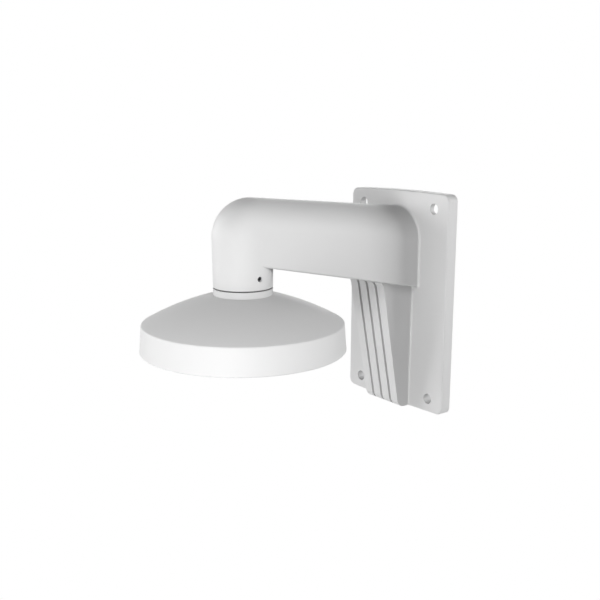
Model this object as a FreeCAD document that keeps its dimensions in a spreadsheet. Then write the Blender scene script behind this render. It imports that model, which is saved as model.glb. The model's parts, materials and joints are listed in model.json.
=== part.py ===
import FreeCAD, Part
import itertools
import math
import os
import Sketcher
from FreeCAD import Placement, Rotation, Vector

# Wall bracket for a dome camera: a hollow casting with a wall plate, an arm, an elbow,
# a neck and a grooved strut, and a wide cap that screws up into the neck.
# Frame: X to the right when facing the wall, +Y into the wall, +Z up, millimetres.
# The origin is the centre of the plate's back face, so the arm points along -Y.

SIZES = {
    # Wall plate
    "plate_width": 116.4,
    "plate_side": 182.0,
    "plate_arch": 1.3,
    "plate_depth": 10.0,
    "plate_corner": 6.0,
    "plate_edge": 1.5,
    "rim_wall": 7.5,
    "recess_depth": 5.4,
    "recess_corner": 4.0,
    "foot_band": 24.0,
    # Wall screw holes
    "hole_diameter": 8.8,
    "hole_side_margin": 16.0,
    "hole_top_margin": 11.9,
    "hole_foot_margin": 10.9,
    # Arm
    "reach": 165.8,
    "arm_slope": 6.85,
    "underside_slope": 11.4,
    "root_half_width": 27.2,
    "root_cove": 2.0,
    "arm_edge": 1.5,
    "throat_height": 44.3,
    "wall": 4.0,
    # Elbow and neck
    "bend_radius": 6.5,
    "neck_top": 63.4,
    "neck_top_radius": 22.8,
    "neck_end": 27.1,
    "neck_end_radius": 22.3,
    "core_top": 82.0,
    "core_chamfer": 9.0,
    "neck_edge": 0.4,
    # Strut
    "strut_foot_reach": 21.8,
    "strut_head_reach": 43.4,
    "strut_foot_half_width": 19.9,
    "strut_head_half_width": 20.8,
    "strut_foot_rise": 0.7,
    "strut_foot_round": 8.0,
    "strut_flare": 9.0,
    "strut_cove": 1.5,
    "groove_width": 2.6,
    "groove_depth": 2.2,
    "groove_pitch": 10.7,
    "groove_return": 9.0,
    # Joint between the neck and the cap
    "seal_thickness": 0.9,
    "seal_inset": 0.9,
    "seal_clearance": 0.3,
    "spigot_radius": 16.5,
    "spigot_length": 20.0,
    "spigot_clearance": 0.08,
    "spigot_chamfer": 1.0,
    "cable_radius": 12.0,
    # Cap
    "collar_radius": 22.3,
    "collar_height": 4.8,
    "dome_radius": 22.6,
    "dome_bulge": 1.9,
    "rim_radius": 75.9,
    "rim_height": 0.0,
    "rim_round": 1.2,
    "skirt_radius": 77.5,
    "skirt_depth": 20.4,
    "skirt_edge": 0.6,
    "cap_wall": 3.0,
    # Camera screw bosses inside the cap
    "boss_circle": 110.0,
    "boss_radius": 5.0,
    "boss_stand": 8.0,
    "boss_hole_radius": 1.65,
    "boss_hole_depth": 9.0,
    # Set screw
    "screw_height": 35.5,
    "screw_radius": 1.95,
    "screw_clearance": 0.05,
    "screw_seat": 0.05,
    "screw_length": 4.6,
    "screw_point": 0.6,
    "screw_bevel": 0.2,
    "screw_socket": 2.0,
    "screw_socket_depth": 2.0,
}

# How far a cut runs past the face it opens, and the arm's loft starts behind the wall.
CUT_OVER = 1.0
BEHIND = 6.0
# How far the space cut away in front of the strut reaches past its head.
FAR = 60.0
BOSS_COUNT = 3

constraint_numbers = itertools.count(1)
doc = FreeCAD.newDocument("camera_wall_bracket")
sheet = doc.addObject("Spreadsheet::Sheet", "Sizes")
for row, (alias, size) in enumerate(SIZES.items(), start=1):
    sheet.set(f"A{row}", alias)
    sheet.set(f"B{row}", str(size))
    sheet.setAlias(f"B{row}", alias)
doc.recompute()


def value(expression):
    """Work an expression on the sheet's sizes out to a number."""
    return float(sheet.evalExpression(expression))


# Lengths that follow from the sizes, written as expressions on the sheet.
PLATE_HALF_WIDTH = "Sizes.plate_width / 2"
PLATE_HALF_SIDE = "Sizes.plate_side / 2"
ARCH_RADIUS = "((Sizes.plate_width / 2) ^ 2 + Sizes.plate_arch ^ 2) / (2 * Sizes.plate_arch)"
# Distance from the wall to the level line that the elbow is turned about.
BEND_REACH = "(Sizes.reach - Sizes.bend_radius)"
# The arm is coned about an axis that falls to the wall from the elbow's last section.
END_REACH = f"({BEND_REACH} - Sizes.bend_radius * sin(Sizes.arm_slope))"
END_HEIGHT = "(Sizes.neck_top + Sizes.bend_radius * cos(Sizes.arm_slope))"
THROAT_HALF_WIDTH = ("(Sizes.neck_top_radius - (Sizes.neck_top_radius - Sizes.neck_end_radius)"
                     " * (Sizes.neck_top - Sizes.throat_height) / (Sizes.neck_top - Sizes.neck_end))")
FOOT_LEVEL = "(Sizes.strut_foot_rise - Sizes.plate_side / 2 - Sizes.plate_arch)"
COLLAR_TOP = "(Sizes.neck_end - Sizes.seal_thickness)"
DOME_TOP = f"({COLLAR_TOP} - Sizes.collar_height)"
DOME_DROP = f"({DOME_TOP} - Sizes.rim_height)"
DOME_SPAN = "(Sizes.rim_radius - Sizes.dome_radius)"
DOME_ARC = (f"(({DOME_SPAN} ^ 2 + {DOME_DROP} ^ 2) / 4 + Sizes.dome_bulge ^ 2)"
            " / (2 * Sizes.dome_bulge)")
SKIRT_FOOT = "(Sizes.rim_height - Sizes.skirt_depth)"
BORE_RADIUS = "(Sizes.spigot_radius + Sizes.spigot_clearance)"


def underside(distance):
    """Give the height of the arm's flat bottom at a distance from the wall."""
    return f"(Sizes.throat_height - (Sizes.reach - {distance}) * tan(Sizes.underside_slope))"


def axis_height(distance):
    """Give the height of the arm's axis at a distance from the wall."""
    return f"({END_HEIGHT} - ({END_REACH} - {distance}) * tan(Sizes.arm_slope))"


def arm_radius(distance):
    """Give the radius of the arm's round top where its axis is at a distance from the wall."""
    return (f"(Sizes.neck_top_radius + (Sizes.root_half_width - Sizes.neck_top_radius)"
            f" * ({END_REACH} - {distance}) / ({END_REACH} - Sizes.plate_depth))")


def section_drop(distance):
    """Give how far the flat bottom lies below the axis, along the section that meets it there."""
    return (f"(({axis_height(distance)} - {underside(distance)})"
            " / (cos(Sizes.arm_slope) + sin(Sizes.arm_slope) * tan(Sizes.underside_slope)))")


def new_body(name):
    """Add an empty body that is called name."""
    body = doc.addObject("PartDesign::Body", name)
    body.Label = name
    return body


def new_sketch(body, name, plane, offset=("0", "0", "0"), lean=None):
    """Add a sketch to a body on one of its own origin planes.

    offset moves it along its own x, y and normal; lean turns it about its own x.
    """
    sketch = body.newObject("Sketcher::SketchObject", name)
    support = next(item for item in body.Origin.OriginFeatures if item.Role == plane)
    sketch.AttachmentSupport = (support, [""])
    sketch.MapMode = "FlatFace"
    if lean:
        sketch.AttachmentOffset = Placement(Vector(), Rotation(Vector(-1, 0, 0), value(lean)))
        sketch.setExpression("AttachmentOffset.Rotation.Angle", lean)
    for axis, expression in zip("xyz", offset):
        if expression != "0":
            sketch.setExpression("AttachmentOffset.Base." + axis, expression)
    return sketch


def bind(sketch, constraint, expression):
    """Add a constraint with a size and tie that size to an expression."""
    name = f"size_{next(constraint_numbers)}"
    sketch.renameConstraint(sketch.addConstraint(constraint), name)
    sketch.setExpression("Constraints." + name, expression)


def tie(sketch, geometry, point, x, y):
    """Hold a point of a sketch at expressions measured from the sketch's origin."""
    for kind, axis, expression in (("DistanceX", -2, x), ("DistanceY", -1, y)):
        if expression == "0":
            sketch.addConstraint(Sketcher.Constraint("PointOnObject", geometry, point, axis))
        else:
            bind(sketch, Sketcher.Constraint(kind, -1, 1, geometry, point, value(expression)), expression)


def arc_between(start, end, radius, side):
    """Make the short arc from start to end; side 1 bows it to the right of that way."""
    chord = end - start
    outward = Vector(chord.y, -chord.x, 0).normalize() * side
    bow = radius - (radius ** 2 - (chord.Length / 2) ** 2) ** 0.5
    return Part.Arc(start, (start + end) / 2 + outward * bow, end)


def draw(sketch, corners, arcs=None):
    """Draw a closed outline through corners, each a pair of expressions.

    arcs maps the number of a side to its radius and the side that it bows to.
    """
    arcs = arcs or {}
    count = len(corners)
    first = sketch.GeometryCount
    places = [Vector(value(x), value(y), 0) for x, y in corners]
    for i in range(count):
        start, end = places[i], places[(i + 1) % count]
        if i in arcs:
            radius, side = arcs[i]
            sketch.addGeometry(arc_between(start, end, value(radius), side), False)
        else:
            sketch.addGeometry(Part.LineSegment(start, end), False)
    starts = [start_of(sketch, first + i, places[i]) for i in range(count)]
    for i, (x, y) in enumerate(corners):
        before = (i - 1) % count
        sketch.addConstraint(Sketcher.Constraint(
            "Coincident", first + before, 3 - starts[before], first + i, starts[i]))
        tie(sketch, first + i, starts[i], x, y)
    for i, (radius, side) in arcs.items():
        bind(sketch, Sketcher.Constraint("Radius", first + i, value(radius)), radius)


def start_of(sketch, geometry, place):
    """Say which end of a line or arc, 1 or 2, lies at a place."""
    near = sketch.getPoint(geometry, 1).distanceToPoint(place)
    far = sketch.getPoint(geometry, 2).distanceToPoint(place)
    return 1 if near <= far else 2


def round_corner(sketch, before, after, radius):
    """Round the corner between two straight sides of a sketch."""
    corner = sketch.getPoint(after, 1)
    ahead = sketch.getPoint(after, 2) - corner
    behind = sketch.getPoint(before, 1) - corner
    sketch.fillet(before, after, corner + behind * 0.1, corner + ahead * 0.1, value(radius), 1, True)
    arc = sketch.GeometryCount - 2
    bind(sketch, Sketcher.Constraint("Radius", arc, value(radius)), radius)


def draw_round_end(sketch, half_width, centre, flat, corner=None):
    """Draw the arm's section: a half circle about centre, straight sides and a flat end.

    corner rounds the two corners of the flat end.
    """
    w, c, f = value(half_width), value(centre), value(flat)
    up = c > f
    turn = (0, math.pi) if up else (math.pi, 2 * math.pi)
    circle = Part.Circle(Vector(0, c, 0), Vector(0, 0, 1), w)
    sketch.addGeometry(Part.LineSegment(Vector(-w, f, 0), Vector(w, f, 0)), False)
    sketch.addGeometry(Part.LineSegment(Vector(w, f, 0), Vector(w, c, 0)), False)
    sketch.addGeometry(Part.ArcOfCircle(circle, turn[0], turn[1]), False)
    sketch.addGeometry(Part.LineSegment(Vector(-w, c, 0), Vector(-w, f, 0)), False)
    right_end, left_end = (1, 2) if up else (2, 1)
    sketch.addConstraint(Sketcher.Constraint("Coincident", 0, 2, 1, 1))
    sketch.addConstraint(Sketcher.Constraint("Tangent", 1, 2, 2, right_end))
    sketch.addConstraint(Sketcher.Constraint("Tangent", 2, left_end, 3, 1))
    sketch.addConstraint(Sketcher.Constraint("Coincident", 3, 2, 0, 1))
    sketch.addConstraint(Sketcher.Constraint("Vertical", 1))
    sketch.addConstraint(Sketcher.Constraint("Vertical", 3))
    tie(sketch, 0, 1, f"-({half_width})", flat)
    tie(sketch, 0, 2, half_width, flat)
    bind(sketch, Sketcher.Constraint("DistanceY", -1, 1, 2, 3, c), centre)
    if corner:
        round_corner(sketch, 0, 1, corner)
        round_corner(sketch, 3, 0, corner)


def add_circle(sketch, x, y, radius):
    """Draw a circle about a point, all given as expressions."""
    place = Vector(value(x), value(y), 0)
    number = sketch.addGeometry(Part.Circle(place, Vector(0, 0, 1), value(radius)), False)
    tie(sketch, number, 3, x, y)
    bind(sketch, Sketcher.Constraint("Radius", number, value(radius)), radius)


def feature(body, kind, name, sketch, **settings):
    """Add a feature to a body; a setting given as text is bound as an expression."""
    item = body.newObject("PartDesign::" + kind, name)
    item.Profile = sketch
    for key, setting in settings.items():
        if isinstance(setting, str):
            item.setExpression(key, setting)
        else:
            setattr(item, key, setting)
    doc.recompute()
    return item


def loft(body, kind, name, start, end):
    """Join two sections of a body with straight walls, adding or cutting."""
    item = body.newObject("PartDesign::" + kind, name)
    item.Profile = start
    item.Sections = [(end, [""])]
    item.Ruled = True
    doc.recompute()
    return item


def blend(body, kind, name, base, size, wanted, key="Radius"):
    """Fillet or chamfer the edges of a feature that the test wanted picks."""
    edges = [f"Edge{i}" for i, edge in enumerate(base.Shape.Edges, start=1) if wanted(edge)]
    item = body.newObject("PartDesign::" + kind, name)
    item.Base = (base, edges)
    item.setExpression(key, size)
    doc.recompute()
    return item


def spans(edge, axis, low, high):
    """Tell whether an edge lies between two levels on an axis, given as 0, 1 or 2."""
    box = edge.BoundBox
    near = (box.XMin, box.YMin, box.ZMin)[axis]
    far = (box.XMax, box.YMax, box.ZMax)[axis]
    slack = 0.01
    return low - slack <= near and far <= high + slack


def build_plate(body):
    """Make the wall plate: straight sides, gently arched ends, rounded front edge."""
    sketch = new_sketch(body, "plate_outline", "XZ_Plane")
    right, left = PLATE_HALF_WIDTH, f"-{PLATE_HALF_WIDTH}"
    top, foot = PLATE_HALF_SIDE, f"-{PLATE_HALF_SIDE}"
    draw(sketch, [(left, foot), (right, foot), (right, top), (left, top)],
         {0: (ARCH_RADIUS, 1), 2: (ARCH_RADIUS, 1)})
    plate = feature(body, "Pad", "plate", sketch, Length="Sizes.plate_depth")
    depth = value("Sizes.plate_depth")
    corners = blend(body, "Fillet", "plate_corners", plate, "Sizes.plate_corner",
                    lambda edge: edge.BoundBox.YLength > depth / 2)
    return blend(body, "Fillet", "plate_front_edge", corners, "Sizes.plate_edge",
                 lambda edge: spans(edge, 1, -depth, -depth))


def arm_section(body, name, distance, inset):
    """Draw the arm's section, square to its axis, at a distance from the wall."""
    sketch = new_sketch(body, name, "XZ_Plane", ("0", axis_height(distance), distance), "Sizes.arm_slope")
    draw_round_end(sketch, f"{arm_radius(distance)} - {inset}", "0", f"{inset} - {section_drop(distance)}",
                   "Sizes.arm_edge")
    return sketch


def build_arm(body):
    """Make the arm from behind the plate to the elbow, trim it to the wall and cove its root."""
    root = arm_section(body, "arm_root", f"(0 - {BEHIND})", "0")
    end = arm_section(body, "arm_end", END_REACH, "0")
    loft(body, "AdditiveLoft", "arm", root, end)
    wall_side = new_sketch(body, "wall_side", "XZ_Plane")
    right, top = PLATE_HALF_WIDTH, f"({PLATE_HALF_SIDE} + Sizes.plate_arch)"
    draw(wall_side, [(f"-{right}", f"-{top}"), (right, f"-{top}"), (right, top), (f"-{right}", top)])
    trimmed = feature(body, "Pocket", "arm_trim", wall_side, Length=f"2 * {BEHIND}")
    depth = value("Sizes.plate_depth")
    across = value(f"{PLATE_HALF_WIDTH} - Sizes.plate_corner")
    tall = value(f"{PLATE_HALF_SIDE} - Sizes.plate_corner")
    return blend(body, "Fillet", "arm_root_cove", trimmed, "Sizes.root_cove",
                 lambda edge: spans(edge, 1, -depth, -depth) and spans(edge, 0, -across, across)
                 and spans(edge, 2, -tall, tall))


def draw_throat(sketch, half_width, top, foot):
    """Draw the lower half of the arm's section, its bottom corners rounded."""
    left, right = f"-({half_width})", half_width
    draw(sketch, [(left, foot), (right, foot), (right, top), (left, top)])
    round_corner(sketch, 0, 1, "Sizes.arm_edge")
    round_corner(sketch, 3, 0, "Sizes.arm_edge")


def build_elbow_and_neck(body):
    """Turn the arm's roof down into the neck, and fill the throat under it."""
    start = new_sketch(body, "throat_start", "XZ_Plane", ("0", END_HEIGHT, END_REACH), "Sizes.arm_slope")
    draw_throat(start, "Sizes.neck_top_radius", "-Sizes.bend_radius", f"-{section_drop(END_REACH)}")
    end = new_sketch(body, "throat_end", "XZ_Plane", ("0", "0", "Sizes.reach"))
    draw_throat(end, THROAT_HALF_WIDTH, "Sizes.neck_top", "Sizes.throat_height")
    loft(body, "AdditiveLoft", "throat", start, end)
    bend = new_sketch(body, "elbow_outline", "XY_Plane", ("0", f"-{BEND_REACH}", "Sizes.neck_top"))
    draw_round_end(bend, "Sizes.neck_top_radius", "-Sizes.bend_radius", "0")
    feature(body, "Revolution", "elbow", bend, ReferenceAxis=(bend, ["H_Axis"]),
            Angle="90 + Sizes.arm_slope", Reversed=True)
    neck = new_sketch(body, "neck_profile", "YZ_Plane", ("-Sizes.reach", "0", "0"))
    draw(neck, [("0", "Sizes.neck_end"), ("Sizes.neck_end_radius - Sizes.neck_edge", "Sizes.neck_end"),
                ("Sizes.neck_end_radius", "Sizes.neck_end + Sizes.neck_edge"),
                ("Sizes.neck_top_radius", "Sizes.neck_top"), ("0", "Sizes.neck_top")])
    return feature(body, "Revolution", "neck", neck, ReferenceAxis=(neck, ["V_Axis"]), Angle=360)


def draw_front_cut(sketch, inset):
    """Draw the space in front of the strut, set back into it by inset."""
    head = f"(Sizes.strut_head_reach - {inset})"
    foot = f"(Sizes.strut_foot_reach - {inset})"
    level = f"{FOOT_LEVEL} + {inset}"
    roof = f"{underside(head)} + {inset}"
    far = f"(Sizes.strut_head_reach + {FAR})"
    back = "Sizes.groove_return - Sizes.strut_foot_reach"
    draw(sketch, [(back, level), (f"-{foot}", level), (f"-{head}", roof),
                  (f"-{far}", f"{underside(far)} + {inset}"),
                  (f"-{far}", f"{FOOT_LEVEL} - {CUT_OVER}"), (back, f"{FOOT_LEVEL} - {CUT_OVER}")])
    round_corner(sketch, 0, 1, f"Sizes.strut_foot_round - {inset}")
    round_corner(sketch, 1, 2, f"Sizes.strut_flare + {inset}")


def build_strut(body):
    """Make the strut: a tapering block with coved sides, trimmed in front and grooved."""
    out = "(Sizes.strut_head_reach + Sizes.strut_flare)"
    sections = []
    for name, half, level in (("strut_foot", "Sizes.strut_foot_half_width", FOOT_LEVEL),
                              ("strut_head", "Sizes.strut_head_half_width", underside(out))):
        sketch = new_sketch(body, name, "XY_Plane", ("0", "0", level))
        base = "-Sizes.plate_depth"
        wide = f"({half} + Sizes.strut_cove)"
        step = "-Sizes.plate_depth - Sizes.strut_cove"
        inside = "Sizes.recess_depth - Sizes.plate_depth"
        draw(sketch, [(f"-{wide}", inside), (f"-{wide}", base), (f"-{half}", step), (f"-{half}", f"-{out}"),
                      (half, f"-{out}"), (half, step), (wide, base), (wide, inside)],
             {1: ("Sizes.strut_cove", -1), 5: ("Sizes.strut_cove", -1)})
        sections.append(sketch)
    loft(body, "AdditiveLoft", "strut_block", *sections)
    trim = new_sketch(body, "strut_front", "YZ_Plane")
    draw_front_cut(trim, "0")
    feature(body, "Pocket", "strut_trim", trim, Type=1, Midplane=True)
    for name, offset in (("left", "-Sizes.groove_pitch"), ("middle", "0"), ("right", "Sizes.groove_pitch")):
        groove = new_sketch(body, f"groove_{name}_side", "YZ_Plane", ("0", "0", offset))
        draw_front_cut(groove, "Sizes.groove_depth")
        feature(body, "Pocket", f"groove_{name}", groove, Midplane=True, Length="Sizes.groove_width")


def hollow_plate(body):
    """Sink the plate's back, all but its rim and a full band at the foot, and drill it."""
    recess = new_sketch(body, "recess_outline", "XZ_Plane")
    side = f"{PLATE_HALF_WIDTH} - Sizes.rim_wall"
    foot = f"Sizes.foot_band - {PLATE_HALF_SIDE}"
    top = f"{PLATE_HALF_SIDE} - Sizes.rim_wall"
    draw(recess, [(f"-({side})", foot), (side, foot), (side, top), (f"-({side})", top)])
    for before, after in ((0, 1), (1, 2), (2, 3), (3, 0)):
        round_corner(recess, before, after, "Sizes.recess_corner")
    feature(body, "Pocket", "recess", recess, Length="Sizes.recess_depth", Reversed=True)
    holes = new_sketch(body, "wall_hole_places", "XZ_Plane")
    across = f"({PLATE_HALF_WIDTH} - Sizes.hole_side_margin)"
    upper = f"{PLATE_HALF_SIDE} - Sizes.hole_top_margin"
    lower = f"Sizes.hole_foot_margin - {PLATE_HALF_SIDE}"
    for x in (f"-{across}", across):
        for z in (upper, lower):
            add_circle(holes, x, z, "Sizes.hole_diameter / 2")
    feature(body, "Pocket", "wall_holes", holes, Length=f"Sizes.plate_depth + {CUT_OVER}", Reversed=True)


def hollow_arm(body):
    """Open the cable way from the plate's back, along the arm and down the neck."""
    root = arm_section(body, "cable_way_root", f"(0 - {BEHIND})", "Sizes.wall")
    end = arm_section(body, "cable_way_end", END_REACH, "Sizes.wall")
    loft(body, "SubtractiveLoft", "cable_way", root, end)
    core = new_sketch(body, "neck_core", "YZ_Plane", ("-Sizes.reach", "0", "0"))
    draw(core, [("0", f"Sizes.neck_end - {CUT_OVER}"), (BORE_RADIUS, f"Sizes.neck_end - {CUT_OVER}"),
                (BORE_RADIUS, "Sizes.core_top - Sizes.core_chamfer"),
                (f"{BORE_RADIUS} - Sizes.core_chamfer", "Sizes.core_top"), ("0", "Sizes.core_top")])
    feature(body, "Groove", "neck_bore", core, ReferenceAxis=(core, ["V_Axis"]), Angle=360)
    screw = new_sketch(body, "set_screw_hole_place", "YZ_Plane")
    add_circle(screw, "-Sizes.reach", "Sizes.screw_height", "Sizes.screw_radius + Sizes.screw_clearance")
    feature(body, "Pocket", "set_screw_hole", screw, Length="Sizes.neck_top_radius", Reversed=True)


def hollow_strut(body):
    """Core the strut out from the wall side, leaving its walls and a floor under the arm."""
    core = new_sketch(body, "strut_core_side", "YZ_Plane")
    front = "(Sizes.wall + Sizes.groove_depth)"
    foot = f"(Sizes.strut_foot_reach - {front})"
    head = f"(Sizes.strut_head_reach - {front})"
    floor = f"{FOOT_LEVEL} + Sizes.wall"
    back = f"{CUT_OVER}"
    roof_at_back = underside(f"(0 - {CUT_OVER})")
    draw(core, [(back, floor), (f"-{foot}", floor), (f"-{head}", f"{underside(head)} - Sizes.wall"),
                (back, f"{roof_at_back} - Sizes.wall")])
    round_corner(core, 0, 1, f"Sizes.strut_foot_round - {front}")
    round_corner(core, 1, 2, "Sizes.recess_corner")
    feature(body, "Pocket", "strut_core", core, Midplane=True,
            Length="2 * (Sizes.strut_foot_half_width - Sizes.wall)")


def build_bracket():
    """Make the bracket casting from its plate, arm, neck and strut."""
    strut = new_body("strut")
    build_strut(strut)
    bracket = new_body("wall_bracket")
    build_plate(bracket)
    build_arm(bracket)
    build_elbow_and_neck(bracket)
    join = bracket.newObject("PartDesign::Boolean", "strut_join")
    join.Type = "Fuse"
    join.setObjects([strut])
    doc.recompute()
    hollow_plate(bracket)
    hollow_arm(bracket)
    hollow_strut(bracket)
    return bracket


def build_cap():
    """Turn the cap: threaded spigot, collar, dome and skirt, then add the camera bosses."""
    body = new_body("camera_cap")
    profile = new_sketch(body, "cap_profile", "YZ_Plane", ("-Sizes.reach", "0", "0"))
    spigot_top = f"{COLLAR_TOP} + Sizes.spigot_length"
    ceiling = f"{DOME_TOP} - Sizes.cap_wall"
    draw(profile, [("Sizes.cable_radius", spigot_top), ("Sizes.cable_radius", ceiling),
                   ("Sizes.dome_radius - Sizes.cap_wall", ceiling),
                   ("Sizes.rim_radius - Sizes.cap_wall", "Sizes.rim_height - Sizes.cap_wall"),
                   ("Sizes.skirt_radius - Sizes.cap_wall", SKIRT_FOOT),
                   ("Sizes.skirt_radius - Sizes.skirt_edge", SKIRT_FOOT),
                   ("Sizes.skirt_radius", f"{SKIRT_FOOT} + Sizes.skirt_edge"),
                   ("Sizes.rim_radius", "Sizes.rim_height"), ("Sizes.dome_radius", DOME_TOP),
                   ("Sizes.collar_radius", DOME_TOP), ("Sizes.collar_radius", COLLAR_TOP),
                   ("Sizes.spigot_radius", COLLAR_TOP),
                   ("Sizes.spigot_radius", f"{spigot_top} - Sizes.spigot_chamfer"),
                   ("Sizes.spigot_radius - Sizes.spigot_chamfer", spigot_top)],
         {7: (DOME_ARC, 1)})
    axis = (profile, ["V_Axis"])
    turned = feature(body, "Revolution", "cap_turned", profile, ReferenceAxis=axis, Angle=360)
    rim = value("Sizes.rim_height")
    blend(body, "Fillet", "rim_round", turned, "Sizes.rim_round", lambda edge: spans(edge, 2, rim, rim))
    build_bosses(body)
    return body


def build_bosses(body):
    """Stand the camera screw bosses under the dome, evenly round the cap's axis."""
    level = f"{SKIRT_FOOT} + Sizes.boss_stand"
    place = new_sketch(body, "boss_place", "XY_Plane", ("0", "-Sizes.reach", level))
    add_circle(place, "0", "Sizes.boss_circle / 2", "Sizes.boss_radius")
    boss = feature(body, "Pad", "boss", place, Type=2)
    hole_place = new_sketch(body, "boss_hole_place", "XY_Plane", ("0", "-Sizes.reach", level))
    add_circle(hole_place, "0", "Sizes.boss_circle / 2", "Sizes.boss_hole_radius")
    hole = feature(body, "Pocket", "boss_hole", hole_place, Length="Sizes.boss_hole_depth", Reversed=True)
    ring = body.newObject("PartDesign::PolarPattern", "boss_ring")
    ring.Originals = [boss, hole]
    ring.Axis = (place, ["N_Axis"])
    ring.Angle = 360
    ring.Occurrences = BOSS_COUNT
    body.Tip = ring
    doc.recompute()


def build_seal():
    """Cut the flat rubber ring that fills the joint between the neck and the cap."""
    body = new_body("seal_ring")
    sketch = new_sketch(body, "seal_outline", "XY_Plane", ("0", "-Sizes.reach", COLLAR_TOP))
    add_circle(sketch, "0", "0", "Sizes.neck_end_radius - Sizes.seal_inset")
    add_circle(sketch, "0", "0", "Sizes.spigot_radius + Sizes.seal_clearance")
    feature(body, "Pad", "seal", sketch, Length="Sizes.seal_thickness")
    return body


def build_set_screw():
    """Turn the grub screw that locks the cap, and sink its hexagon socket."""
    body = new_body("set_screw")
    point = "(Sizes.spigot_radius + Sizes.screw_seat)"
    head = f"({point} + Sizes.screw_length)"
    profile = new_sketch(body, "screw_profile", "XY_Plane", ("0", "-Sizes.reach", "Sizes.screw_height"))
    draw(profile, [(point, "0"), (head, "0"), (head, "Sizes.screw_radius - Sizes.screw_bevel"),
                   (f"{head} - Sizes.screw_bevel", "Sizes.screw_radius"),
                   (f"{point} + Sizes.screw_point", "Sizes.screw_radius"),
                   (point, "Sizes.screw_radius - Sizes.screw_point")])
    feature(body, "Revolution", "screw_turned", profile, ReferenceAxis=(profile, ["H_Axis"]), Angle=360)
    socket = new_sketch(body, "socket_outline", "YZ_Plane", ("-Sizes.reach", "Sizes.screw_height", head))
    half = "Sizes.screw_socket / 2"
    corner = f"{half} / cos(30)"
    draw(socket, [(corner, "0"), (f"{corner} / 2", half), (f"-{corner} / 2", half),
                  (f"-{corner}", "0"), (f"-{corner} / 2", f"-{half}"), (f"{corner} / 2", f"-{half}")])
    feature(body, "Pocket", "screw_socket_cut", socket, Length="Sizes.screw_socket_depth")
    return body


def write_parts(bodies):
    """Check every object of the document, then write each sub-part as a STEP file."""
    doc.recompute()
    failed = [item.Name for item in doc.Objects if {"Invalid", "Error"} & set(item.State)]
    if failed:
        raise RuntimeError("not computed: " + ", ".join(failed))
    for body in bodies:
        if body.Shape.isNull() or not body.Shape.isValid():
            raise RuntimeError("no valid shape: " + body.Label)
        if len(body.Shape.Solids) != 1:
            raise RuntimeError("not one solid: " + body.Label)
    os.makedirs("parts", exist_ok=True)
    for body in bodies:
        body.Shape.exportStep(f"parts/{body.Label}.step")
        print(body.Label, round(body.Shape.Volume, 1), "mm3")


write_parts([build_bracket(), build_cap(), build_seal(), build_set_screw()])
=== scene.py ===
"""Looks for a cast wall bracket that carries a dome camera under a wide dished cap.

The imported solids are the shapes. This script dresses them in powder coat, rubber and
blackened steel, cuts their threads into the finishes, lights them as in a plain studio
and looks from the photograph's angle.
"""

import json
import logging
import math
from dataclasses import dataclass, field
from enum import Enum

import bpy
from mathutils import Matrix, Vector


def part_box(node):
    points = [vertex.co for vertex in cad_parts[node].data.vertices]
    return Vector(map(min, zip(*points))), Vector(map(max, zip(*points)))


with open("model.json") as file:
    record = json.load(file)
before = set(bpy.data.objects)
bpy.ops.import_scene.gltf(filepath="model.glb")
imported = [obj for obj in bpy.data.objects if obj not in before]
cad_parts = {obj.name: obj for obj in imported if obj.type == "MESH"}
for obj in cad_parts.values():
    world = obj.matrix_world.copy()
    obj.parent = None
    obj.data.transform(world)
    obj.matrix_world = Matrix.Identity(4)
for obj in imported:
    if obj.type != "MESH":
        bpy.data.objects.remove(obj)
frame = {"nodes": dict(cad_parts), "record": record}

LOG = logging.getLogger("camera_wall_bracket")
IMAGE_SIDE_PX = 600
SENSOR_MM = 36.0
MM = 0.001
WHITE = (1.0, 1.0, 1.0, 1.0)


class Grain(Enum):
    """How close the bumps of a finish lie, as bumps to a metre."""

    FINE = 2600.0
    MEDIUM = 1100.0
    COARSE = 420.0
    CLOUD = 18.0


class Axis(Enum):
    """The axis that a thread climbs along, with the two axes square to it."""

    X = ("X", "Y", "Z")
    Z = ("Z", "X", "Y")


class Reading:
    """A number that varies over a surface and takes part in ordinary sums."""

    def __init__(self, graph: "Graph", socket: bpy.types.NodeSocket) -> None:
        """Wrap one output socket of a graph.

        Args:
            graph: The graph that the socket belongs to.
            socket: The output socket that carries the number.
        """
        self.graph = graph
        self.socket = socket

    def __add__(self, other: "Reading | float") -> "Reading":
        """Add a number or another reading."""
        return self.graph.maths("ADD", self, other)

    __radd__ = __add__

    def __sub__(self, other: "Reading | float") -> "Reading":
        """Take a number or another reading away."""
        return self.graph.maths("SUBTRACT", self, other)

    def __rsub__(self, other: float) -> "Reading":
        """Take this reading away from a number."""
        return self.graph.maths("SUBTRACT", other, self)

    def __mul__(self, other: "Reading | float") -> "Reading":
        """Multiply by a number or another reading."""
        return self.graph.maths("MULTIPLY", self, other)

    __rmul__ = __mul__

    def __truediv__(self, other: float) -> "Reading":
        """Divide by a number."""
        return self.graph.maths("DIVIDE", self, other)

    def __lt__(self, other: float) -> "Reading":
        """Give 1 where the reading is under a number, and 0 elsewhere."""
        return self.graph.maths("LESS_THAN", self, other)


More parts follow.
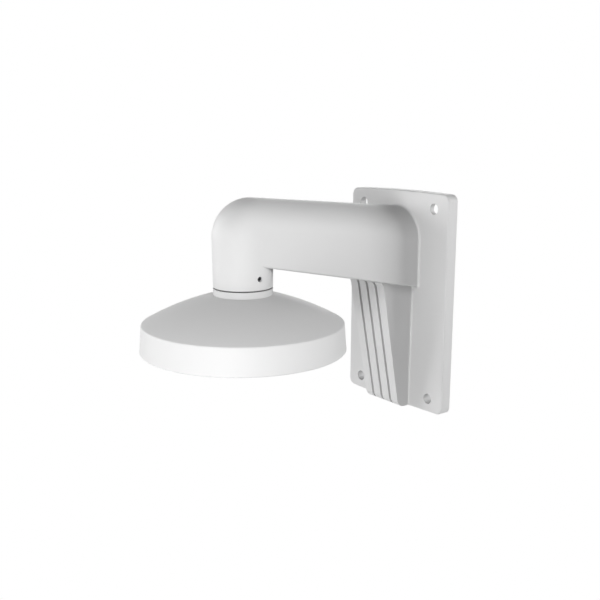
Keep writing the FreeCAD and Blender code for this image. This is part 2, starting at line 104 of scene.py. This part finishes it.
class Graph:
    """The node tree of one material or world, written as calls and sums."""

    def __init__(self, tree: bpy.types.NodeTree) -> None:
        """Take a node tree over and empty it.

        Args:
            tree: The tree of a material or a world.
        """
        self.tree = tree
        self.tree.nodes.clear()

    def node(self, kind: str, settings: dict | None = None, **inputs: object) -> bpy.types.Node:
        """Add a node, set it up and feed its sockets.

        Args:
            kind: The node's type, such as ShaderNodeBump.
            settings: Attributes to set before the sockets are fed.
            **inputs: Values, readings or sockets by socket name, with _ for a space.
                A key such as n0 or n1 picks a socket by its number.

        Returns:
            The new node.
        """
        made = self.tree.nodes.new(kind)
        for key, setting in (settings or {}).items():
            setattr(made, key, setting)
        for key, source in inputs.items():
            numbered = key[0] == "n" and key[1:].isdigit()
            self.feed(made.inputs[int(key[1:]) if numbered else key.replace("_", " ")], source)
        return made

    def feed(self, socket: bpy.types.NodeSocket, source: object) -> None:
        """Link a reading or a socket to an input, or set the input to a value.

        Args:
            socket: The input socket.
            source: What feeds it.
        """
        if isinstance(source, Reading):
            source = source.socket
        if isinstance(source, bpy.types.NodeSocket):
            self.tree.links.new(source, socket)
        else:
            socket.default_value = source

    def maths(self, operation: str, first: object, second: object = 0.0) -> Reading:
        """Add a Math node for one sum.

        Args:
            operation: The node's operation, such as MULTIPLY.
            first: The first number or reading.
            second: The second number or reading, if the operation takes one.

        Returns:
            The result as a reading.
        """
        made = self.node("ShaderNodeMath", {"operation": operation}, n0=first, n1=second)
        return Reading(self, made.outputs[0])

    def place(self) -> bpy.types.NodeSocket:
        """Give the point on the object that is being shaded, in metres."""
        return self.node("ShaderNodeTexCoord").outputs["Object"]

    def place_from(self, centre: Vector) -> dict[str, Reading]:
        """Give the shaded point's distances from a centre, along each axis.

        Args:
            centre: The point to measure from, in metres.

        Returns:
            The three distances by axis name.
        """
        moved = self.node("ShaderNodeVectorMath", {"operation": "SUBTRACT"}, n0=self.place(), n1=centre)
        parts = self.node("ShaderNodeSeparateXYZ", Vector=moved.outputs[0])
        return {name: Reading(self, parts.outputs[name]) for name in "XYZ"}

    def noise(self, scale: float, detail: float = 2.0, roughness: float = 0.5) -> Reading:
        """Give soft noise between 0 and 1.

        Args:
            scale: How many bumps there are to a metre.
            detail: How many finer layers lie on the first.
            roughness: How strong the finer layers are.

        Returns:
            The noise as a reading.
        """
        made = self.node("ShaderNodeTexNoise", Vector=self.place(), Scale=scale,
                         Detail=detail, Roughness=roughness)
        return Reading(self, made.outputs["Fac"])

    def blend(self, share: object, first: object, second: object) -> bpy.types.NodeSocket:
        """Blend two colours.

        Args:
            share: How much of the second colour shows, from 0 to 1.
            first: The first colour, as four numbers or a socket.
            second: The second colour, as four numbers or a socket.

        Returns:
            The socket of the blended colour.
        """
        made = self.node("ShaderNodeMix", {"data_type": "RGBA"}, n0=share, n6=first, n7=second)
        return made.outputs[2]

    def mix_shaders(self, share: object, first: bpy.types.Node, second: bpy.types.Node) -> bpy.types.Node:
        """Mix two shaders.

        Args:
            share: How much of the second shader shows, from 0 to 1.
            first: The node of the first shader.
            second: The node of the second shader.

        Returns:
            The mixing node.
        """
        return self.node("ShaderNodeMixShader", n0=share, n1=first.outputs[0], n2=second.outputs[0])

    def seen(self) -> Reading:
        """Give 1 for rays from the camera, or through gloss or glass, and 0 for other light."""
        path = self.node("ShaderNodeLightPath")
        rays = [Reading(self, path.outputs[f"Is {kind} Ray"])
                for kind in ("Camera", "Glossy", "Transmission")]
        return self.maths("MINIMUM", rays[0] + rays[1] + rays[2], 1.0)

    def bounced(self) -> bpy.types.NodeSocket:
        """Give 1 for light that comes by way of another dull surface, and 0 otherwise."""
        return self.node("ShaderNodeLightPath").outputs["Is Diffuse Ray"]

    def show(self, shader: bpy.types.Node, output: str = "ShaderNodeOutputMaterial") -> None:
        """Show a shader on the surface of the material or world.

        Args:
            shader: The last shader node.
            output: The type of the output node.
        """
        self.node(output, Surface=shader.outputs[0])


def new_material(name: str) -> tuple[bpy.types.Material, Graph]:
    """Start a material with an empty graph.

    Args:
        name: The material's name.

    Returns:
        The material and its graph.
    """
    material = bpy.data.materials.new(name)
    material.use_nodes = True
    return material, Graph(material.node_tree)


@dataclass(frozen=True)
class Thread:
    """A cut thread: turns that climb round an axis, in bare metal, on one round wall."""

    centre: Vector
    axis: Axis
    radius_mm: float
    pitch_mm: float
    half_length_mm: float
    slack_mm: float = 0.3

    def distances(self, graph: Graph) -> tuple[Reading, Reading, Reading]:
        """Give where the shaded point lies along, out from and round the axis.

        Args:
            graph: The graph to measure in.

        Returns:
            The way along the axis and out from it, in metres, and the angle round it.
        """
        parts = graph.place_from(self.centre)
        along, across, up = (parts[name] for name in self.axis.value)
        out = graph.maths("SQRT", across * across + up * up)
        return along, out, graph.maths("ARCTAN2", up, across)

    def mask(self, graph: Graph) -> Reading:
        """Give 1 on the threaded wall and 0 elsewhere.

        Args:
            graph: The graph to measure in.

        Returns:
            The mask.
        """
        along, out, _ = self.distances(graph)
        near_wall = graph.maths("ABSOLUTE", out - self.radius_mm * MM) < self.slack_mm * MM
        in_span = graph.maths("ABSOLUTE", along) < self.half_length_mm * MM
        return near_wall * in_span

    def height(self, graph: Graph) -> Reading:
        """Give the height of the thread's turns, from 0 at the root to 1 at the crest.

        Args:
            graph: The graph to measure in.

        Returns:
            The height.
        """
        along, _, angle = self.distances(graph)
        turns = along / (self.pitch_mm * MM) + angle / math.tau
        return 2.0 * graph.maths("PINGPONG", turns, 0.5)


@dataclass(frozen=True)
class PowderCoat:
    """A baked powder coat: a fine orange peel over a pale, satin, opaque skin.

    The coat is masked off the threads, where the cast metal is bare and bright. Light that
    bounces from one face to the next is dimmed, so that the grooves and corners stay as
    deep as in the photograph.
    """

    name: str
    colour: tuple[float, float, float]
    threads: tuple[Thread, ...] = ()
    roughness: float = 0.5
    specular: float = 0.25
    grain: Grain = Grain.MEDIUM
    peel_mm: float = 0.012
    bare_metal: tuple[float, float, float] = (0.62, 0.62, 0.63)
    thread_depth_mm: float = 0.3
    thread_polish: float = 0.15
    thin_share: float = 0.975
    fine_share: float = 0.35
    rough_swing: float = 0.08
    # painted shade: the grey that the coat shows to light bounced from a neighbouring face
    painted_bounce_shade: float = 0.26

    def build(self) -> bpy.types.Material:
        """Make the material.

        Returns:
            The material.
        """
        material, graph = new_material(self.name)
        cloud = graph.noise(Grain.CLOUD.value, detail=3.0)
        thin = tuple(part * self.thin_share for part in self.colour)
        coat = graph.blend(cloud, (*thin, 1.0), (*self.colour, 1.0))
        peel = graph.noise(self.grain.value) + self.fine_share * graph.noise(Grain.FINE.value)
        height = self.peel_mm * MM * peel
        rough = self.roughness + self.rough_swing * (cloud - 0.5)
        bare = None
        for thread in self.threads:
            cut = thread.mask(graph)
            height = height + self.thread_depth_mm * MM * cut * thread.height(graph)
            bare = cut if bare is None else bare + cut
        if bare is not None:
            coat = graph.blend(bare, coat, (*self.bare_metal, 1.0))
            rough = rough - self.thread_polish * bare
        # Painted shade: for bounced light the coat's colour drops to a dark grey, so grooves and corners
        # darken
        coat = graph.blend(graph.bounced(), coat, (self.painted_bounce_shade,) * 3 + (1.0,))
        bump = graph.node("ShaderNodeBump", Height=height, Distance=1.0, Strength=1.0)
        graph.show(graph.node("ShaderNodeBsdfPrincipled", Base_Color=coat, Roughness=rough,
                              Metallic=0.0 if bare is None else bare,
                              Specular_IOR_Level=self.specular, Normal=bump.outputs[0]))
        return material


@dataclass(frozen=True)
class Rubber:
    """Dark moulded rubber with a dusty, dull skin."""

    name: str
    colour: tuple[float, float, float]
    roughness: float = 0.8
    rough_swing: float = 0.1
    dust_gain: float = 1.8
    grain_mm: float = 0.01

    def build(self) -> bpy.types.Material:
        """Make the material.

        Returns:
            The material.
        """
        material, graph = new_material(self.name)
        dust = graph.noise(Grain.COARSE.value, detail=4.0)
        dusty = tuple(part * self.dust_gain for part in self.colour)
        bump = graph.node("ShaderNodeBump", Height=graph.noise(Grain.FINE.value),
                          Distance=self.grain_mm * MM)
        graph.show(graph.node(
            "ShaderNodeBsdfPrincipled", Base_Color=graph.blend(dust, (*self.colour, 1.0), (*dusty, 1.0)),
            Roughness=self.roughness + self.rough_swing * (dust - 0.5), Normal=bump.outputs[0]))
        return material


@dataclass(frozen=True)
class BlackSteel:
    """Turned steel with a black oxide finish, worn a little along its thread."""

    name: str
    colour: tuple[float, float, float]
    thread: Thread
    roughness: float = 0.38
    rough_swing: float = 0.15
    metallic: float = 0.9
    wear_gain: float = 2.2
    thread_depth_mm: float = 0.3

    def build(self) -> bpy.types.Material:
        """Make the material.

        Returns:
            The material.
        """
        material, graph = new_material(self.name)
        wear = graph.noise(Grain.COARSE.value, detail=4.0)
        cut = self.thread.mask(graph) * self.thread.height(graph)
        worn = tuple(part * self.wear_gain for part in self.colour)
        bump = graph.node("ShaderNodeBump", Height=self.thread_depth_mm * MM * cut, Distance=1.0)
        graph.show(graph.node(
            "ShaderNodeBsdfPrincipled", Metallic=self.metallic, Normal=bump.outputs[0],
            Base_Color=graph.blend(wear * cut, (*self.colour, 1.0), (*worn, 1.0)),
            Roughness=self.roughness + self.rough_swing * (wear - 0.5)))
        return material


@dataclass
class Dressed:
    """One CAD node in its finish, named for what it is on the bracket."""

    node: str
    slot: str
    finish: PowderCoat | Rubber | BlackSteel

    def dress(self) -> bpy.types.Object:
        """Give the node its finish.

        Returns:
            The node's object.
        """
        piece = frame["nodes"][self.node]
        piece.data.materials.clear()
        piece.data.materials.append(self.finish.build())
        return piece


@dataclass
class Bracket:
    """The whole bracket: casting, cap, seal and set screw, with their threads."""

    white: tuple[float, float, float] = (0.84, 0.84, 0.84)
    rubber: tuple[float, float, float] = (0.1, 0.1, 0.1)
    black: tuple[float, float, float] = (0.1, 0.1, 0.105)
    small_pitch_mm: float = 0.7
    neck_pitch_mm: float = 1.5
    neck_thread_radius_mm: float = 16.5
    boss_turns: int = 10

    def neck_thread(self) -> Thread:
        """Give the thread between the neck and the cap's spigot, just above the seal."""
        low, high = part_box("seal_ring")[1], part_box("camera_cap")[1]
        axis_y = sum(corner.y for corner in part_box("camera_cap")) / 2
        centre = Vector((0.0, axis_y, (low.z + high.z) / 2))
        half = (high.z - low.z) / 2 / MM - self.neck_pitch_mm / 2
        return Thread(centre, Axis.Z, self.neck_thread_radius_mm, self.neck_pitch_mm, half)

    def screw_thread(self) -> Thread:
        """Give the thread of the set screw, which the hole in the neck shares."""
        low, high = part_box("set_screw")
        half = (high.x - low.x) / 2 / MM + self.small_pitch_mm
        return Thread((low + high) / 2, Axis.X, (high.z - low.z) / 2 / MM, self.small_pitch_mm, half)

    def boss_threads(self) -> tuple[Thread, ...]:
        """Give the threads in the camera screw bosses, from the mount that they make.

        Returns:
            One thread for each boss, the first on the wall's side.
        """
        mount = next(item for item in frame["record"]["mounts"] if item["name"] == "camera_screws")
        dims = mount["dims"]
        depth = self.small_pitch_mm * self.boss_turns
        middle = Vector(mount["pos_m"]) + Vector((0, 0, depth * MM / 2))
        threads = []
        for number in range(dims["count"]):
            turn = math.tau * number / dims["count"]
            reach = Vector((math.sin(turn), math.cos(turn), 0)) * dims["pcd_mm"] / 2 * MM
            threads.append(Thread(middle + reach, Axis.Z, dims["hole_r_mm"],
                                  self.small_pitch_mm, depth / 2))
        return tuple(threads)

    def build(self) -> list[bpy.types.Object]:
        """Dress every node.

        Returns:
            The dressed objects.
        """
        neck, screw, bosses = self.neck_thread(), self.screw_thread(), self.boss_threads()
        pieces = (
            Dressed("wall_bracket", "bracket_coat", PowderCoat("bracket_coat", self.white, (neck, screw))),
            Dressed("camera_cap", "cap_coat", PowderCoat("cap_coat", self.white, (neck, *bosses))),
            Dressed("seal_ring", "seal_rubber", Rubber("seal_rubber", self.rubber)),
            Dressed("set_screw", "screw_steel", BlackSteel("screw_steel", self.black, screw)),
        )
        return [piece.dress() for piece in pieces]


@dataclass
class PhotoView:
    """The camera of the photograph, as fitted to the object's edges and circles."""

    azimuth_deg: float = 52.92
    elevation_deg: float = 11.64
    roll_deg: float = 0.17
    focal_px: float = 821.58
    distance_mm: float = 714.51
    across_mm: float = -89.91
    rise_mm: float = -3.44
    clip_near: float = 0.01
    clip_far: float = 100.0

    def place(self) -> bpy.types.Object:
        """Make the camera, aim it and hand it to the scene.

        Returns:
            The camera object.
        """
        back = away(self.azimuth_deg, self.elevation_deg)
        right = (-back).cross(Vector((0, 0, 1))).normalized()
        up = right.cross(-back)
        roll = math.radians(self.roll_deg)
        right, up = (right * math.cos(roll) + up * math.sin(roll),
                     up * math.cos(roll) - right * math.sin(roll))
        eye = (back * self.distance_mm + right * self.across_mm + up * self.rise_mm) * MM
        data = bpy.data.cameras.new("photo_view")
        data.sensor_width = SENSOR_MM
        data.lens = self.focal_px * SENSOR_MM / IMAGE_SIDE_PX
        data.clip_start = self.clip_near
        data.clip_end = self.clip_far
        camera = bpy.data.objects.new("photo_view", data)
        camera.matrix_world = Matrix((
            (right.x, up.x, back.x, eye.x),
            (right.y, up.y, back.y, eye.y),
            (right.z, up.z, back.z, eye.z),
            (0, 0, 0, 1)))
        bpy.context.scene.collection.objects.link(camera)
        bpy.context.scene.camera = camera
        return camera


@dataclass(frozen=True)
class Softbox:
    """A square studio lamp that points at a place on the object.

    Its distance from that place and its side are in metres.
    """

    name: str
    azimuth_deg: float
    elevation_deg: float
    watts: float
    distance: float = 1.3
    side: float = 0.65

    def hang(self, aim: Vector) -> bpy.types.Object:
        """Hang the lamp round the place that it points at.

        Args:
            aim: The place, in metres.

        Returns:
            The lamp object.
        """
        back = away(self.azimuth_deg, self.elevation_deg)
        data = bpy.data.lights.new(self.name, "AREA")
        data.shape = "SQUARE"
        data.size = self.side
        data.energy = self.watts
        lamp = bpy.data.objects.new(self.name, data)
        lamp.location = aim + back * self.distance
        lamp.rotation_euler = back.to_track_quat("Z", "Y").to_euler()
        bpy.context.scene.collection.objects.link(lamp)
        return lamp


@dataclass
class Studio:
    """The pale floor, the white surround and the soft lamps.

    The small lamps hang near the object, so that their light falls off along the arm. The
    back lamps stand behind the wall's plane and light the edges.
    """

    floor_level: float = -0.6
    floor_side: float = 60.0
    floor_shade: float = 0.9
    shadow_reach: float = 0.15
    shadow_fade: float = 0.3
    shadow_depth: float = 0.6
    ambient: float = 0.01
    aim: Vector = field(default_factory=lambda: Vector((0.0, -0.11, 0.0)))
    lamps: tuple[Softbox, ...] = (
        Softbox("left_lamp", -60.0, 12.0, 7.4),
        Softbox("low_lamp", 30.0, -15.0, 1.25, 0.6, 0.3),
        Softbox("front_lamp", 0.0, 15.0, 0.5, 0.6, 0.3),
        Softbox("near_lamp", 45.0, 0.0, 0.45, 0.45, 0.2),
        Softbox("high_lamp", 60.0, 45.0, 0.75, 0.6, 0.3),
        Softbox("right_back_lamp", 135.0, 12.0, 5.4),
        Softbox("back_lamp", 160.0, 12.0, 3.9),
        Softbox("left_back_lamp", -135.0, 12.0, 3.0),
    )

    def lay_floor(self) -> bpy.types.Object:
        """Lay the floor: pale with the object's shadow near it, plain white further off.

        Returns:
            The floor's object.
        """
        bpy.ops.object.select_all(action="DESELECT")
        bpy.ops.mesh.primitive_plane_add(size=self.floor_side, location=(0, 0, self.floor_level))
        floor = bpy.context.object
        floor.name = "studio_floor"
        material, graph = new_material("pale_floor")
        glow = graph.node("ShaderNodeEmission", Color=WHITE, Strength=1.0)
        paint = graph.node("ShaderNodeBsdfDiffuse", Color=(self.floor_shade,) * 3 + (1.0,))
        parts = graph.place_from(Vector((self.aim.x, self.aim.y, 0.0)))
        out = graph.maths("SQRT", parts["X"] * parts["X"] + parts["Y"] * parts["Y"])
        far = graph.node("ShaderNodeMapRange", {"interpolation_type": "SMOOTHSTEP"}, Value=out,
                         From_Min=self.shadow_reach, From_Max=self.shadow_reach + self.shadow_fade)
        white = graph.seen() * (1.0 - self.shadow_depth * (1.0 - Reading(graph, far.outputs[0])))
        graph.show(graph.mix_shaders(white, paint, glow))
        floor.data.materials.append(material)
        return floor

    def light_world(self) -> None:
        """Surround the object with white, dimmer as light than it looks."""
        world = bpy.data.worlds.new("white_surround")
        world.use_nodes = True
        graph = Graph(world.node_tree)
        lit = graph.node("ShaderNodeBackground", Color=WHITE, Strength=self.ambient)
        plain = graph.node("ShaderNodeBackground", Color=WHITE, Strength=1.0)
        graph.show(graph.mix_shaders(graph.seen(), lit, plain), "ShaderNodeOutputWorld")
        bpy.context.scene.world = world

    def build(self) -> None:
        """Set the whole studio up."""
        self.lay_floor()
        self.light_world()
        for lamp in self.lamps:
            lamp.hang(self.aim)


def away(azimuth_deg: float, elevation_deg: float) -> Vector:
    """Give the way from the object to a viewer or a lamp.

    Args:
        azimuth_deg: The angle round the object, 0 in front of the wall and 90 at its right.
        elevation_deg: The angle over the level.

    Returns:
        The direction, one metre long.
    """
    azimuth, elevation = math.radians(azimuth_deg), math.radians(elevation_deg)
    return Vector((math.sin(azimuth) * math.cos(elevation),
                   -math.cos(azimuth) * math.cos(elevation), math.sin(elevation)))


def main() -> None:
    """Dress the bracket, set up the studio and place the camera."""
    logging.basicConfig(level=logging.INFO, format="%(name)s: %(message)s")
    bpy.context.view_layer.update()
    for piece in Bracket().build():
        LOG.info("dressed %s", piece.name)
    Studio().build()
    PhotoView().place()
    bpy.context.scene.view_settings.view_transform = "Standard"


if __name__ == "__main__":
    main()
